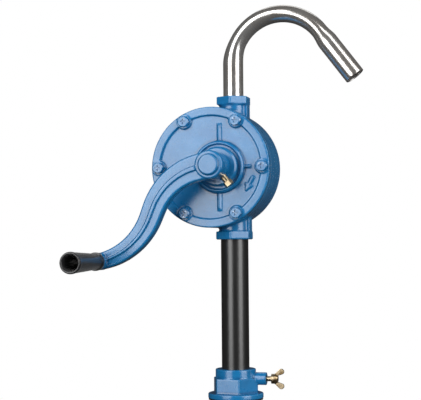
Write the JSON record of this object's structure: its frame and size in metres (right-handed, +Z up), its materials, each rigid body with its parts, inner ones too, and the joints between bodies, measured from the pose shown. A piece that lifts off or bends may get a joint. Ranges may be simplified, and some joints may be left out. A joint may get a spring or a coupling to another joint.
{
  "type": "drum barrel pump",
  "caption": "Hand-cranked rotary vane pump for a drum, with a clamped suction tube, a bung adaptor and a hooked discharge spout.",
  "frame": {"origin": "on the suction tube's axis at the plane where the bung adaptor's gasket sits on the drum", "axes": "+Z up along the suction tube, -Y towards the crank, +X towards the clamp screw"},
  "size_m": [0.3218, 0.2187, 1.3491],
  "materials": {
    "blue_enamel": "semi-gloss enamel on cast iron",
    "painted_bolts": "enamel over zinc, worn at the edges",
    "black_pipe": "satin black enamel on steel pipe",
    "chrome": "bright chrome plating",
    "brass": "plain brass, lightly tarnished",
    "bronze": "sintered bronze",
    "machined_steel": "turned and ground",
    "black_rubber": "matt rubber",
    "black_plastic": "satin moulded plastic",
    "gasket_paper": "oiled gasket paper",
    "vane_composite": "pressed fibre composite"
  },
  "bodies": {
    "adaptor": {"bung_adaptor": "blue_enamel", "bung_gasket": "black_rubber", "tube_packing": "black_rubber"},
    "clamp_stem": {"wing_screw_stem": "brass"},
    "clamp_head": {"wing_head": "brass"},
    "suction_tube": {"upper_tube": "black_pipe", "middle_tube": "black_pipe", "lower_tube": "black_pipe", "upper_coupling": "black_pipe", "lower_coupling": "black_pipe", "foot_strainer": "black_plastic"},
    "pump_body": {"pump_casing": "blue_enamel", "cover_gasket": "gasket_paper", "front_cover": "blue_enamel", "cover_bolts": "painted_bolts", "front_bush": "bronze", "rear_bush": "bronze", "shaft_seal": "black_rubber", "seal_retainer": "blue_enamel", "discharge_spout": "chrome"},
    "crank": {"rotor_shaft": "machined_steel", "crank_arm": "blue_enamel", "crank_set_screw": "brass", "grip_spindle": "machined_steel", "grip_washer": "machined_steel"},
    "vane_rod": {"vane_spacer_rod": "machined_steel"},
    "vanes": {"vane_left": "vane_composite", "vane_right": "vane_composite"},
    "grip": {"grip_sleeve": "black_plastic"}
  },
  "joints": [
    {"name": "tube_height", "type": "slide", "parent": "adaptor", "child": "suction_tube", "axis": [0, 0, 1], "range_m": [-0.08, 0.085]},
    {"name": "pump_swivel", "type": "hinge", "parent": "suction_tube", "child": "pump_body", "pos_m": [0, 0, 0.2], "axis": [0, 0, 1], "continuous": true},
    {"name": "crank_turn", "type": "hinge", "parent": "pump_body", "child": "crank", "pos_m": [-0.0107, -0.05, 0.2843], "axis": [0, 1, 0], "continuous": true},
    {"name": "grip_spin", "type": "hinge", "parent": "crank", "child": "grip", "pos_m": [-0.14759, -0.1, 0.17097], "axis": [0, 1, 0], "continuous": true},
    {"name": "vane_rod_orbit", "type": "hinge", "parent": "pump_body", "child": "vane_rod", "pos_m": [-0.01635, 0, 0.2843], "axis": [0, 1, 0], "continuous": true},
    {"name": "vane_turn", "type": "hinge", "parent": "vane_rod", "child": "vanes", "pos_m": [-0.022, 0, 0.2843], "axis": [0, 1, 0], "continuous": true},
    {"name": "clamp_advance", "type": "slide", "parent": "adaptor", "child": "clamp_stem", "axis": [1, 0, 0], "range_m": [0, 0.003]},
    {"name": "clamp_turn", "type": "hinge", "parent": "clamp_stem", "child": "clamp_head", "pos_m": [0.048, 0, 0.0256], "axis": [1, 0, 0], "range_deg": [0, 1080]}
  ],
  "couplings": [
    {"joint": "vane_rod_orbit", "follows": "crank_turn", "ratio": 2},
    {"joint": "vane_turn", "follows": "crank_turn", "ratio": -1},
    {"joint": "clamp_turn", "follows": "clamp_advance", "rad_per_m": 6283.2}
  ]
}
